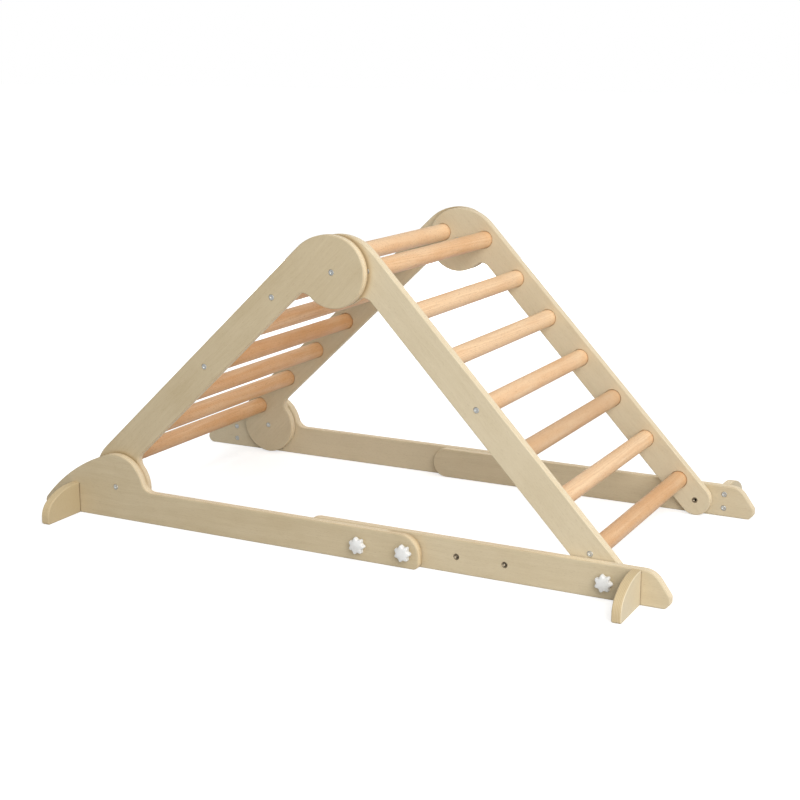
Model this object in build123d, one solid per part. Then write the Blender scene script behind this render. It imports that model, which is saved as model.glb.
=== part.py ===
from build123d import *
import math
import os

# Folding climbing triangle: two rung ladders of plywood and beech, hinged at the top, over a base
# whose front rails slide along its rear rails to set its length.
# Millimetres, +Z up, +X from the rear ladder to the front ladder, origin on the floor at the middle
# of the footprint. Right is -Y and left is +Y, as seen looking along +X.
# Every side piece is drawn on the right, and its left twin is its mirror image.

# Plywood plates. On each side they lie in three layers: the rear rail outermost, then the front
# rail and the rear stile, then the front stile.
ply_thickness = 18.0
layer_gap = 1.0
edge_round = 2.5
outer_half_width = 307.0

# Base: the height of the rear pivot, and the level distance from it to the front foot pin
base_span = 1036.0
rear_pivot_height = 66.0
rail_height = 64.0

# Ladders: each stile's centre line runs beside the line of its pivots, so that the ladders fold
# side by side
rear_span = 682.0
front_span = 735.0
pivot_offset = 48.0
stile_width = 64.0
top_disc_radius = 67.0
rear_disc_radius = 63.5
outer_blend_radius = 95.0
notch_radius = 20.0

# Rungs: the first of each ladder is counted along the stile from the pivot beside it
rung_diameter = 35.0
rung_seat_depth = 12.0
rung_seat_gap = 0.6
rung_seat_chamfer = 1.0
rung_pitch = 107.0
rear_rung_count = 6
rear_rung_start = 15.5
front_rung_count = 7
front_rung_start = 40.0
top_rung_lead = 34.5
top_rung_inset = 15.0

# Rear rail: its raised bulb round the pivot, its long sloping nose and its front end
bulb_radius = 67.5
bulb_fillet_radius = 25.0
slope_radius = 355.0
nose_reach = 183.0
nose_radius = 14.0
rear_rail_reach = 684.0
rear_rail_top_round = 38.0
rear_rail_bottom_round = 12.0

# Front rail: how far it laps back past the first knob, its rounded rear end and its clipped tip
front_rail_lap = 129.0
front_rail_end_round = 30.0
tip_reach = 116.0
tip_slope_run = 30.0
tip_slope_round = 36.0
tip_brow_height = 22.0
tip_brow_round = 9.0
tip_chin_height = 9.0
tip_chin_round = 5.0
tip_clip_run = 9.0
tip_clip_round = 5.0

# Rows of fixing holes where the rails overlap: the last knob is counted back from the rear rail's end
splice_margin = 27.0
splice_pitch = 95.0
insert_count = 4
knobs_a_side = 2

# Feet: plates that stand square to the rails, on their outer faces
foot_reach = 100.0
foot_top_flat = 16.0
foot_toe_height = 14.0
foot_toe_sweep = 36.0
foot_toe_round = 5.0
rear_foot_setback = 92.0
front_foot_lead = 64.0

# Bolts and screws, with heads sunk just below the wood
head_radius = 5.5
head_height = 3.0
head_sink = 0.3
head_gap = 0.4
shank_radius = 3.0
shank_gap = 0.02
shank_room = 0.3
rung_bolt_length = 45.0
foot_screw_length = 50.0
foot_screw_spacing = 29.0
hex_radius = 2.4
hex_depth = 1.8

# Pivots: a bolt in a sleeve nut, with a washer between the two plates
sleeve_radius = 5.0
sleeve_running_gap = 0.05
sleeve_end_room = 1.0
sleeve_blind_wall = 2.0
head_running_gap = 0.15
pivot_shank_length = 20.0
washer_radius = 11.0
washer_running_gap = 0.2

# Star knobs, their studs and the threaded inserts that take them
knob_radius = 16.5
knob_lobes = 7
knob_shoulder_radius = 15.4
knob_hollow_radius = 12.6
knob_lobe_share = 0.36
knob_hub_radius = 9.0
knob_hub_height = 4.0
knob_lobe_height = 13.0
knob_crown_radius = 42.0
knob_seat_gap = 0.3
stud_radius = 4.0
stud_room = 0.4
stud_embed = 9.0
stud_tip_setback = 0.5
insert_radius = 6.0
insert_bore_radius = 3.4
insert_length = 14.0
insert_gap = 0.02

# Layers: the distance of each layer's inner face from the middle plane
rear_rail_inner = outer_half_width - ply_thickness
middle_inner = rear_rail_inner - layer_gap - ply_thickness
front_stile_inner = middle_inner - layer_gap - ply_thickness

# Places in the side view, as (x, z)
overall_length = nose_reach + base_span + tip_reach
rear_pivot = Vector(nose_reach - overall_length / 2, rear_pivot_height)
foot_pin = Vector(rear_pivot.X + base_span, rail_height / 2)
stile_inner_edge = pivot_offset - stile_width / 2
stile_outer_edge = pivot_offset + stile_width / 2
splice_start = rear_pivot.X + rear_rail_reach - splice_margin - (knobs_a_side - 1) * splice_pitch
splice_row = [Vector(splice_start + step * splice_pitch, rail_height / 2) for step in range(insert_count)]
knob_places = splice_row[:knobs_a_side]


def circles_meet(first, first_radius, second, second_radius, turn):
    """The point where two circles cross, to the left of first-to-second for turn +1, else right."""
    gap = second - first
    along = (first_radius**2 - second_radius**2 + gap.length**2) / (2 * gap.length)
    across = math.sqrt(first_radius**2 - along**2)
    ahead = gap.normalized()
    return first + ahead * along + ahead.rotate(Axis.Z, 90) * (turn * across)


top_pivot = circles_meet(rear_pivot, rear_span, foot_pin, math.hypot(front_span, pivot_offset), 1)


class LadderFrame:
    """A ladder's own axes in the side view: u down the stile from the top pivot, v outwards."""

    def __init__(self, down, hand):
        self.down = down
        self.outward = down.rotate(Axis.Z, 90 * hand)

    def at(self, u, v):
        return top_pivot + self.down * u + self.outward * v


foot_pin_angle = math.degrees(math.atan2(pivot_offset, front_span))
rear_frame = LadderFrame((rear_pivot - top_pivot).normalized(), -1)
front_frame = LadderFrame((foot_pin - top_pivot).normalized().rotate(Axis.Z, -foot_pin_angle), 1)


def arc(centre, start, end, via):
    """The arc from start to end about centre, on the side that via points to."""
    radius = (start - centre).length
    return ThreePointArc(start, centre + via.normalized() * radius, end)


def short_arc(centre, start, end):
    """The arc of under half a turn from start to end about centre."""
    return arc(centre, start, end, (start - centre) + (end - centre))


def disc_end(u, radius, toward):
    """A stile's disc at u, with its blends into the two edges of the stile.

    toward is +1 where the stile leaves the disc down the ladder, and -1 where it leaves up it.
    Returns the four points (on the outer edge, on the disc, on the disc, on the inner edge) and the
    centres of the outer blend and of the notch, all in the ladder's own axes.
    """
    disc = Vector(u, 0)
    blend_drop = outer_blend_radius - stile_outer_edge
    blend_run = math.sqrt((outer_blend_radius - radius) ** 2 - blend_drop**2)
    blend = Vector(u + toward * blend_run, -blend_drop)
    notch_level = stile_inner_edge - notch_radius
    notch_run = math.sqrt((radius + notch_radius) ** 2 - notch_level**2)
    notch = Vector(u + toward * notch_run, notch_level)
    points = (
        Vector(blend.X, stile_outer_edge),
        disc + (disc - blend).normalized() * radius,
        disc + (notch - disc).normalized() * radius,
        Vector(notch.X, stile_inner_edge),
    )
    return points, disc, blend, notch


def placed(frame, edges):
    """A closed outline drawn in a ladder's own axes, as a face in the side view."""
    side = frame.down.cross(frame.outward).Z
    plane = Plane(origin=top_pivot, x_dir=frame.down, z_dir=(0, 0, side))
    return plane * make_face(edges)


def rear_stile_outline():
    """The rear stile: a straight band with a disc at each pivot."""
    top, top_disc, top_blend, top_notch = disc_end(0, top_disc_radius, 1)
    low, low_disc, low_blend, low_notch = disc_end(rear_span, rear_disc_radius, -1)
    edges = [
        Line(top[0], low[0]),
        short_arc(low_blend, low[0], low[1]),
        arc(low_disc, low[1], low[2], Vector(1, -0.5)),
        short_arc(low_notch, low[2], low[3]),
        Line(low[3], top[3]),
        short_arc(top_notch, top[3], top[2]),
        arc(top_disc, top[2], top[1], Vector(-1, -0.5)),
        short_arc(top_blend, top[1], top[0]),
    ]
    return placed(rear_frame, edges)


def front_stile_outline():
    """The front stile: a disc at the top pivot, and a round foot about the foot pin."""
    top, top_disc, top_blend, top_notch = disc_end(0, top_disc_radius, 1)
    foot = Vector(front_span, pivot_offset)
    outer_foot = Vector(front_span, stile_outer_edge)
    inner_foot = Vector(front_span, stile_inner_edge)
    edges = [
        Line(top[0], outer_foot),
        arc(foot, outer_foot, inner_foot, Vector(1, 0)),
        Line(inner_foot, top[3]),
        short_arc(top_notch, top[3], top[2]),
        arc(top_disc, top[2], top[1], Vector(-1, -0.5)),
        short_arc(top_blend, top[1], top[0]),
    ]
    return placed(front_frame, edges)


def rear_rail_outline():
    """The rear rail: a level bar with a bulb round the pivot that slopes down to a low nose."""
    end = rear_pivot.X + rear_rail_reach
    fillet_rise = rail_height + bulb_fillet_radius - rear_pivot_height
    fillet_run = math.sqrt((bulb_radius + bulb_fillet_radius) ** 2 - fillet_rise**2)
    hollow = Vector(rear_pivot.X + fillet_run, rail_height + bulb_fillet_radius)
    nose = Vector(rear_pivot.X - nose_reach + nose_radius, nose_radius)
    slope = circles_meet(nose, slope_radius - nose_radius, rear_pivot, slope_radius - bulb_radius, -1)
    nose_foot = Vector(nose.X, 0)
    nose_top = nose + (nose - slope).normalized() * nose_radius
    bulb_rear = rear_pivot + (rear_pivot - slope).normalized() * bulb_radius
    bulb_front = rear_pivot + (hollow - rear_pivot).normalized() * bulb_radius
    hollow_foot = Vector(hollow.X, rail_height)
    front_end = FilletPolyline(
        nose_foot,
        (end, 0),
        (end, rail_height),
        hollow_foot,
        radius=[rear_rail_bottom_round, rear_rail_top_round],
    )
    edges = [
        *front_end.edges(),
        short_arc(hollow, hollow_foot, bulb_front),
        short_arc(rear_pivot, bulb_front, bulb_rear),
        short_arc(slope, bulb_rear, nose_top),
        short_arc(nose, nose_top, nose_foot),
    ]
    return make_face(edges)


def front_rail_outline():
    """The front rail: a level bar with a round rear end and a sloping, clipped front tip."""
    end = splice_start - front_rail_lap
    tip = foot_pin.X + tip_reach
    corners = {
        (end, 0): front_rail_end_round,
        (tip - tip_clip_run, 0): tip_clip_round,
        (tip, tip_chin_height): tip_chin_round,
        (tip, tip_brow_height): tip_brow_round,
        (tip - tip_slope_run, rail_height): tip_slope_round,
        (end, rail_height): front_rail_end_round,
    }
    outline = FilletPolyline(*corners, radius=corners.values(), close=True)
    return make_face(outline.edges())


def plate(outline, inner):
    """A plywood plate on the right side, its inner face that far from the middle, edges rounded."""
    blank = extrude(Plane.XZ.offset(inner) * outline, ply_thickness, dir=(0, -1, 0))
    return fillet(blank.faces().filter_by(Axis.Y).edges(), edge_round)


def rod(place, radius, first, second):
    """A round bar across the right side at place, between two distances from the middle plane."""
    low, high = sorted((first, second))
    bar = Cylinder(radius, high - low, align=(Align.CENTER, Align.CENTER, Align.MIN))
    return Plane.XZ.offset(low) * Pos(place.X, place.Y) * bar


def socket(place, face, inward):
    """The hex socket in a head whose outer face lies that far from the middle plane."""
    key = extrude(RegularPolygon(hex_radius, 6), hex_depth)
    low = min(face, face + inward * hex_depth)
    return Plane.XZ.offset(low) * Pos(place.X, place.Y) * key


def screw(place, face, inward, length):
    """A sunk flat-headed screw. It enters at face; inward is -1 towards the middle, else +1."""
    top = face + inward * head_sink
    under = top + inward * head_height
    head = rod(place, head_radius, top, under)
    shank = rod(place, shank_radius, under, under + inward * length)
    return head + shank - socket(place, top, inward)


def screw_hole(place, face, inward, depth):
    """The sunk seat and the clear hole for such a screw, as deep as given from the face."""
    seat = rod(place, head_radius + head_gap, face, face + inward * (head_sink + head_height))
    return seat + rod(place, shank_radius + shank_room, face, face + inward * depth)


def thread(place, face, inward, start, length):
    """The tight hole that such a screw's shank cuts, from start beyond the face."""
    end = head_sink + head_height + length
    return rod(place, shank_radius + shank_gap, face + inward * start, face + inward * end)


def pivot_holes(place, plate_inner, head_face, inward):
    """The running hole and the sunk head seat of a pivot, in one plate."""
    running = rod(place, sleeve_radius + sleeve_running_gap, plate_inner, plate_inner + ply_thickness)
    seat_depth = head_sink + head_height
    return running + rod(place, head_radius + head_gap, head_face, head_face + inward * seat_depth)


def pivot_hardware(place, inner, bolt_lift, nut_lift):
    """A pivot's bolt and sleeve nut through two plates, the inner one's inner face at inner.

    A lift is the running room left under a head, on the plate that turns.
    """
    outer = inner + 2 * ply_thickness + layer_gap
    bolt_top = outer - head_sink + bolt_lift
    bolt_under = bolt_top - head_height
    bolt = rod(place, head_radius, bolt_under, bolt_top)
    bolt += rod(place, shank_radius, bolt_under - pivot_shank_length, bolt_under)
    bolt -= socket(place, bolt_top, -1)
    nut_top = inner + head_sink - nut_lift
    nut_under = nut_top + head_height
    sleeve_end = bolt_under - sleeve_end_room
    nut = rod(place, head_radius, nut_top, nut_under) + rod(place, sleeve_radius, nut_under, sleeve_end)
    nut -= rod(place, shank_radius + shank_gap, nut_under + sleeve_blind_wall, sleeve_end)
    nut -= socket(place, nut_top, 1)
    return bolt, nut


def pivot_washer(place, low, high):
    """A washer on a pivot's sleeve, between two distances from the middle plane."""
    return rod(place, washer_radius, low, high) - rod(place, sleeve_radius + sleeve_running_gap, low, high)


def rung(place, half_length, bolted):
    """A dowel across the ladder, drilled at both ends if it is bolted."""
    dowel = rod(place, rung_diameter / 2, -half_length, half_length)
    if bolted:
        seat = ply_thickness - rung_seat_depth
        pilot = thread(place, half_length + seat, -1, seat, rung_bolt_length)
        dowel -= pilot + mirror(pilot, about=Plane.XZ)
    return dowel


def rung_seat(place, inner):
    """The blind seat of a rung in a plate's inner face, with a chamfered mouth."""
    radius = rung_diameter / 2 + rung_seat_gap
    base = (Align.CENTER, Align.CENTER, Align.MIN)
    mouth = Cone(radius + rung_seat_chamfer, radius, rung_seat_chamfer, align=base)
    hole = rod(place, radius, inner, inner + rung_seat_depth)
    return hole + Plane.XZ.offset(inner) * Pos(place.X, place.Y) * mouth


def stile(outline, inner, rungs, bolted):
    """A plate with a blind seat for each rung, and a screw hole behind each bolted one."""
    board = plate(outline, inner)
    for place in rungs:
        board -= rung_seat(place, inner)
    for place in bolted:
        board -= screw_hole(place, inner + ply_thickness, -1, ply_thickness)
    return board


def foot_screws_at(foot_face):
    """The places of a foot's two screws, in the side view."""
    middle = foot_face - ply_thickness / 2
    half = foot_screw_spacing / 2
    return [Vector(middle, rail_height / 2 + rise) for rise in (-half, half)]


def foot(foot_face, rail_inner):
    """A foot on the right: a plate square to the rail, with a curved outer edge and a flat sole."""
    rail_face = rail_inner + ply_thickness
    plane = Plane(origin=(foot_face, -rail_face, 0), x_dir=(0, -1, 0), z_dir=(-1, 0, 0))
    toe = Vector(foot_reach, foot_toe_height)
    crown = Vector(foot_top_flat, rail_height)
    heel = Vector(foot_reach, foot_toe_round)
    sole = Vector(foot_reach - foot_toe_round, 0)
    toe_centre = toe - Vector(foot_toe_sweep, 0)
    run = toe_centre.X - crown.X
    rise = rail_height - foot_toe_height
    crown_sweep = (run**2 + rise**2 - foot_toe_sweep**2) / (2 * (rise - foot_toe_sweep))
    crown_centre = crown - Vector(0, crown_sweep)
    join = toe_centre + (toe_centre - crown_centre).normalized() * foot_toe_sweep
    edges = [
        Line((0, 0), sole),
        short_arc(Vector(sole.X, foot_toe_round), sole, heel),
        Line(heel, toe),
        short_arc(toe_centre, toe, join),
        short_arc(crown_centre, join, crown),
        Line(crown, (0, rail_height)),
        Line((0, rail_height), (0, 0)),
    ]
    blank = extrude(plane * make_face(edges), ply_thickness, dir=(-1, 0, 0))
    body = fillet(blank.faces().filter_by(Axis.X).edges(), edge_round)
    for place in foot_screws_at(foot_face):
        body -= thread(place, rail_inner, 1, ply_thickness, foot_screw_length)
    return body


def knob_star():
    """The knob's lobed outline: narrow round lobes joined by wide hollows."""
    step = 360 / knob_lobes
    half_lobe = step * knob_lobe_share / 2

    def point(radius, angle):
        return Vector(radius, 0).rotate(Axis.Z, angle)

    edges = []
    for lobe in range(knob_lobes):
        middle = lobe * step
        start = point(knob_shoulder_radius, middle - half_lobe)
        end = point(knob_shoulder_radius, middle + half_lobe)
        following = point(knob_shoulder_radius, middle + step - half_lobe)
        edges.append(ThreePointArc(start, point(knob_radius, middle), end))
        edges.append(ThreePointArc(end, point(knob_hollow_radius, middle + step / 2), following))
    return make_face(edges)


def knob(place, rail_face):
    """A star knob on the right, its hub just off the rail's face, and its stud."""
    top = knob_hub_height + knob_lobe_height
    lobes = Pos(0, 0, knob_hub_height) * extrude(knob_star(), knob_lobe_height)
    crown = Pos(0, 0, top - knob_crown_radius) * Sphere(knob_crown_radius)
    base = (Align.CENTER, Align.CENTER, Align.MIN)
    hub = Cylinder(knob_hub_radius, knob_hub_height, align=base)
    pocket = Cylinder(stud_radius + insert_gap, stud_embed, align=base)
    head = hub + (lobes & crown) - pocket
    seat = rail_face + knob_seat_gap
    stud = rod(place, stud_radius, rail_face - ply_thickness + stud_tip_setback, seat + stud_embed)
    return Plane.XZ.offset(seat) * Pos(place.X, place.Y) * head, stud


def threaded_insert(place, low, high):
    """A threaded sleeve in the wood, between two distances from the middle plane."""
    return rod(place, insert_radius, low, high) - rod(place, insert_bore_radius, low, high)


def insert_hole(place, low, high):
    """The hole that such a sleeve is pressed into."""
    return rod(place, insert_radius + insert_gap, low, high)


nodes = {}


def add_pair(name, right):
    """A piece on the right side, and its mirror image on the left."""
    nodes[f"{name}_right"] = right
    nodes[f"{name}_left"] = mirror(right, about=Plane.XZ)


def add_group(name, right_pieces):
    """Like fasteners on both sides, as one group of separate solids."""
    left_pieces = [mirror(piece, about=Plane.XZ) for piece in right_pieces]
    nodes[name] = Compound([solid for piece in right_pieces + left_pieces for solid in piece.solids()])


def add_pair_of_groups(name, right_pieces):
    """Like fasteners as one group a side."""
    group = Compound([solid for piece in right_pieces for solid in piece.solids()])
    add_pair(name, group)


# Rung places, from the lowest rear rung up and from the highest front rung down
rear_rungs = [
    rear_frame.at(rear_span - rear_rung_start - step * rung_pitch, pivot_offset)
    for step in range(rear_rung_count)
]
front_rungs = [
    front_frame.at(front_rung_start + step * rung_pitch, pivot_offset)
    for step in range(front_rung_count)
]
top_rung = front_frame.at(-top_rung_lead, -top_rung_inset)
rear_bolted = [rear_rungs[0], rear_rungs[rear_rung_count // 2], rear_rungs[-1]]
front_bolted = [front_rungs[0], front_rungs[front_rung_count // 2], front_rungs[-1]]

# Rear ladder
rear_stile = stile(rear_stile_outline(), middle_inner, rear_rungs, rear_bolted)
middle_outer = middle_inner + ply_thickness
rear_stile -= pivot_holes(top_pivot, middle_inner, middle_outer, -1)
rear_stile -= pivot_holes(rear_pivot, middle_inner, middle_inner, 1)
add_pair("rear_stile", rear_stile)
for number, place in enumerate(rear_rungs, 1):
    nodes[f"rear_rung_{number}"] = rung(place, middle_inner + rung_seat_depth, place in rear_bolted)
add_group("rear_rung_bolts", [screw(place, middle_outer, -1, rung_bolt_length) for place in rear_bolted])

# Front ladder
front_outer = front_stile_inner + ply_thickness
front_stile = stile(front_stile_outline(), front_stile_inner, [*front_rungs, top_rung], front_bolted)
front_stile -= pivot_holes(top_pivot, front_stile_inner, front_stile_inner, 1)
front_stile -= insert_hole(foot_pin, front_stile_inner, front_outer)
add_pair("front_stile", front_stile)
front_half = front_stile_inner + rung_seat_depth
for number, place in enumerate(front_rungs, 1):
    nodes[f"front_rung_{number}"] = rung(place, front_half, place in front_bolted)
nodes["top_rung"] = rung(top_rung, front_half, False)
add_group("front_rung_bolts", [screw(place, front_outer, -1, rung_bolt_length) for place in front_bolted])
add_group("front_foot_inserts", [threaded_insert(foot_pin, front_stile_inner, front_outer)])

# Pivots: the rear stiles hold both, and the front stiles and the rear rails turn on them
top_bolt, top_nut = pivot_hardware(top_pivot, front_stile_inner, 0, head_running_gap)
low_bolt, low_nut = pivot_hardware(rear_pivot, middle_inner, head_running_gap, 0)
washer_height = layer_gap - washer_running_gap
add_group("top_pivot_bolts", [top_bolt])
add_group("top_pivot_nuts", [top_nut])
add_group("top_pivot_washers", [pivot_washer(top_pivot, middle_inner - washer_height, middle_inner)])
add_group("rear_pivot_bolts", [low_bolt])
add_group("rear_pivot_nuts", [low_nut])
add_group("rear_pivot_washers", [pivot_washer(rear_pivot, middle_outer, middle_outer + washer_height)])

# Rear rails, with their feet
rear_foot_face = rear_pivot.X - rear_foot_setback
rear_foot_screws = foot_screws_at(rear_foot_face)
rear_rail = plate(rear_rail_outline(), rear_rail_inner)
rear_rail -= pivot_holes(rear_pivot, rear_rail_inner, outer_half_width, -1)
for place in knob_places:
    rear_rail -= rod(place, stud_radius + stud_room, rear_rail_inner, outer_half_width)
for place in rear_foot_screws:
    rear_rail -= screw_hole(place, rear_rail_inner, 1, ply_thickness)
add_pair("rear_rail", rear_rail)
add_pair("rear_foot", foot(rear_foot_face, rear_rail_inner))
add_pair_of_groups(
    "rear_foot_screws",
    [screw(place, rear_rail_inner, 1, foot_screw_length) for place in rear_foot_screws],
)

# Front rails, with their feet and threaded inserts
front_foot_face = foot_pin.X + front_foot_lead
front_foot_screws = foot_screws_at(front_foot_face)
insert_top = middle_outer - head_sink
insert_floor = insert_top - insert_length
front_rail = plate(front_rail_outline(), middle_inner)
front_rail -= rod(foot_pin, stud_radius + stud_room, middle_inner, middle_outer)
for place in splice_row:
    front_rail -= insert_hole(place, insert_floor, middle_outer)
for place in front_foot_screws:
    front_rail -= screw_hole(place, middle_inner, 1, ply_thickness)
add_pair("front_rail", front_rail)
add_pair("front_foot", foot(front_foot_face, middle_inner))
add_pair_of_groups(
    "front_foot_screws",
    [screw(place, middle_inner, 1, foot_screw_length) for place in front_foot_screws],
)
add_pair_of_groups(
    "splice_inserts",
    [threaded_insert(place, insert_floor, insert_top) for place in splice_row],
)

# Star knobs: two a side on the rear rails, and one a side on the front rails at the foot pins
for number, place in enumerate(knob_places, 1):
    head, stud = knob(place, outer_half_width)
    add_pair(f"splice_knob_{number}", head)
    add_pair(f"splice_stud_{number}", stud)
foot_head, foot_stud = knob(foot_pin, middle_outer)
add_pair("foot_knob", foot_head)
add_pair("foot_stud", foot_stud)

os.makedirs("parts", exist_ok=True)
for name, shape in nodes.items():
    export_step(shape, f"parts/{name}.step")
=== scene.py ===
"""Dresses the folding climbing triangle: plywood ladders and base, beech rungs, star knobs, fasteners."""

import logging
import math
from dataclasses import dataclass
from enum import Enum

import bpy
import numpy as np
from mathutils import Matrix, Vector

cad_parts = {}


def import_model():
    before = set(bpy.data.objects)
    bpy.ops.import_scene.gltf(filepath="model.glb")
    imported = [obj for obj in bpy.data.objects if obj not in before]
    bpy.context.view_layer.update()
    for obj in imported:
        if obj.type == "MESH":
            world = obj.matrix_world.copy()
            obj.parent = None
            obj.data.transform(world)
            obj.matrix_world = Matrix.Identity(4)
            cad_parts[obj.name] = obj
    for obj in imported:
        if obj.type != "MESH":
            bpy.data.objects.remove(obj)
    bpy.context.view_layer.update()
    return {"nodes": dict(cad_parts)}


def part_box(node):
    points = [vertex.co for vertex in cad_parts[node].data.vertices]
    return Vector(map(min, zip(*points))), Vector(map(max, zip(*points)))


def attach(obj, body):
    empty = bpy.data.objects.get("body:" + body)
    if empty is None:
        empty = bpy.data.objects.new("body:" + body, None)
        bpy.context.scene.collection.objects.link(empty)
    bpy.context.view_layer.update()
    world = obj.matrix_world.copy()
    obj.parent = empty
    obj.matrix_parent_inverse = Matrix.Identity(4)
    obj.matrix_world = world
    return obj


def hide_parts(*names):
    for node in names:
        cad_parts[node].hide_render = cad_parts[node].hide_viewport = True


LOG = logging.getLogger("climbing_triangle")
MM = 0.001
QUARTER = math.pi / 2
PHOTO_PIXELS = 800
SENSOR_WIDTH = 36.0

# Round seats where boards lie face to face, with painted shade in their gaps: radii, and how deep the
# painted shade reaches, in metres.
TOP_SEAT = 67.0 * MM
PIVOT_SEAT = 64.0 * MM
LAP_SEAT = 45.0 * MM
LAP_DEPTH = 21.0 * MM
SEAT_DEPTH = 11.0 * MM

# Radii and lengths of fasteners, in millimetres.
BOLT_SHANK = 3.0
RUNG_BOLT = 45.0
PIVOT_BOLT = 20.0
FOOT_SCREW = 50.0
NUT_SHANK = 5.0
NUT_BORE = 3.02
INSERT_RADIUS = 6.0
FOOT_INSERT = 18.0
SPLICE_INSERT = 14.0

Array = np.ndarray
Surface = tuple[Array, Array]
Spot = tuple[Vector, float]
Place = tuple[float, float, float]
Colour = tuple[float, float, float, float]
Socket = bpy.types.NodeSocket
Tree = bpy.types.NodeTree
Material = bpy.types.Material


class Side(Enum):
    """The two sides of the climber, each with the sign of its outward direction along Y."""

    RIGHT = -1.0
    LEFT = 1.0

    @property
    def word(self) -> str:
        """The side's word in node names."""
        return self.name.lower()


class Ends(Enum):
    """How a turned surface is closed: by a point at each end, or by joining its last ring to its first."""

    POINTS = "points"
    RING = "ring"


def paint(*levels: int) -> Colour:
    """Turns a display colour into the linear colour that shaders use.

    Args:
        *levels: Red, green and blue, from 0 to 255.

    Returns:
        The linear colour, with an alpha of one.
    """
    display = np.array(levels) / 255.0
    linear = np.where(display <= 0.04045, display / 12.92, ((display + 0.055) / 1.055) ** 2.4)
    return (*linear.tolist(), 1.0)


# The colours of the pale plies and the cross plies where a board is cut.
CREAM_CUT = (paint(246, 234, 208), paint(214, 188, 143))
TAN_CUT = (paint(214, 194, 154), paint(202, 178, 134))


def middle_of(node: str) -> Vector:
    """The middle of a node's box."""
    low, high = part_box(node)
    return (low + high) / 2


def both_sides(axis: Vector, reach: float, outward: float = 1.0) -> list[Spot]:
    """Places a fastener on both sides of the climber.

    Args:
        axis: A point on its axis.
        reach: How far it lies from the middle plane, in metres.
        outward: 1 to look away from the middle plane, -1 to look towards it.

    Returns:
        The two spots.
    """
    return [(Vector((axis.x, side.value * reach, axis.z)), side.value * outward) for side in Side]


class NodeSheet:
    """A node tree, with short ways to add nodes and wire their sockets."""

    def __init__(self, tree: Tree) -> None:
        """Keeps the tree."""
        self.tree = tree

    def wire(self, socket: Socket, value: object) -> None:
        """Links a socket to another one, or sets its value."""
        if isinstance(value, Socket):
            self.tree.links.new(value, socket)
        else:
            socket.default_value = value

    def add(self, kind: str, inputs: dict | None = None, **settings: object) -> bpy.types.Node:
        """Adds a node.

        Args:
            kind: The node's type name.
            inputs: Values or sockets, by input name or number.
            **settings: The node's own properties.

        Returns:
            The node.
        """
        node = self.tree.nodes.new(kind)
        for key, value in settings.items():
            setattr(node, key, value)
        for key, value in (inputs or {}).items():
            self.wire(node.inputs[key], value)
        return node

    def math(self, operation: str, first: object, second: object = 0.0, clamp: bool = False) -> Socket:
        """Adds a Math node and returns its result."""
        inputs = {0: first, 1: second}
        return self.add("ShaderNodeMath", inputs, operation=operation, use_clamp=clamp).outputs[0]

    def scaled(self, value: object, share: object) -> Socket:
        """Multiplies a value by a share."""
        return self.math("MULTIPLY", value, share)

    def total(self, first: object, *others: object) -> Socket:
        """Adds values up, one after another."""
        for other in others:
            first = self.math("ADD", first, other)
        return first

    def vector(self, operation: str, first: object, second: object) -> Socket:
        """Adds a Vector Math node and returns its vector."""
        return self.add("ShaderNodeVectorMath", {0: first, 1: second}, operation=operation).outputs[0]

    def length(self, x: object, y: object, z: object) -> Socket:
        """Measures a vector."""
        inputs = {0: self.join(x, y, z)}
        return self.add("ShaderNodeVectorMath", inputs, operation="LENGTH").outputs["Value"]

    def split(self, vector: Socket) -> list[Socket]:
        """Takes a vector apart into X, Y and Z."""
        return list(self.add("ShaderNodeSeparateXYZ", {0: vector}).outputs)

    def join(self, x: object, y: object, z: object) -> Socket:
        """Makes a vector of X, Y and Z."""
        return self.add("ShaderNodeCombineXYZ", {0: x, 1: y, 2: z}).outputs[0]

    def blend(self, share: object, first: object, second: object) -> Socket:
        """Adds a colour Mix node and returns its colour."""
        return self.add("ShaderNodeMix", {0: share, 6: first, 7: second}, data_type="RGBA").outputs[2]

    def tint(self, colour: Socket, other: Colour, mask: Socket, share: float) -> Socket:
        """Blends a colour towards another one, by a share of a mask."""
        return self.blend(self.scaled(mask, share), colour, other)

    def noise(self, vector: Socket, cells: object, detail: float, roughness: float = 0.5) -> Socket:
        """Adds noise with this many cells a metre along each axis."""
        spread = self.vector("MULTIPLY", vector, cells)
        inputs = {"Vector": spread, "Scale": 1.0, "Detail": detail, "Roughness": roughness}
        return self.add("ShaderNodeTexNoise", inputs).outputs[0]

    def step(self, value: object, low: object, high: object) -> Socket:
        """Adds a smooth step from 0 at low to 1 at high and returns it."""
        inputs = {"Value": value, "From Min": low, "From Max": high}
        return self.add("ShaderNodeMapRange", inputs, interpolation_type="SMOOTHSTEP").outputs[0]

    def effect(self, name: str, **inputs: object) -> dict[str, Socket]:
        """Places a shared effect and returns its outputs by name."""
        node = self.add("ShaderNodeGroup", inputs, node_tree=bpy.data.node_groups[name])
        return {socket.name: socket for socket in node.outputs}


class EffectSheet(NodeSheet):
    """A shared effect while it is being wired, as a shader node group."""

    def __init__(self, name: str, vectors: str, values: str) -> None:
        """Starts the group.

        Args:
            name: The effect's name.
            vectors: The names of the vectors that it takes, with spaces between.
            values: The names of the values that it takes, in the same way.
        """
        super().__init__(bpy.data.node_groups.new(name, "ShaderNodeTree"))
        for names, kind in ((vectors, "NodeSocketVector"), (values, "NodeSocketFloat")):
            for key in names.split():
                self.tree.interface.new_socket(key, in_out="INPUT", socket_type=kind)
        self.given = list(self.add("NodeGroupInput").outputs)[:-1]

    def close(self, **outputs: Socket) -> None:
        """Gives the group its outputs, by name."""
        for key in outputs:
            self.tree.interface.new_socket(key, in_out="OUTPUT", socket_type="NodeSocketFloat")
        self.add("NodeGroupOutput", outputs)


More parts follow.
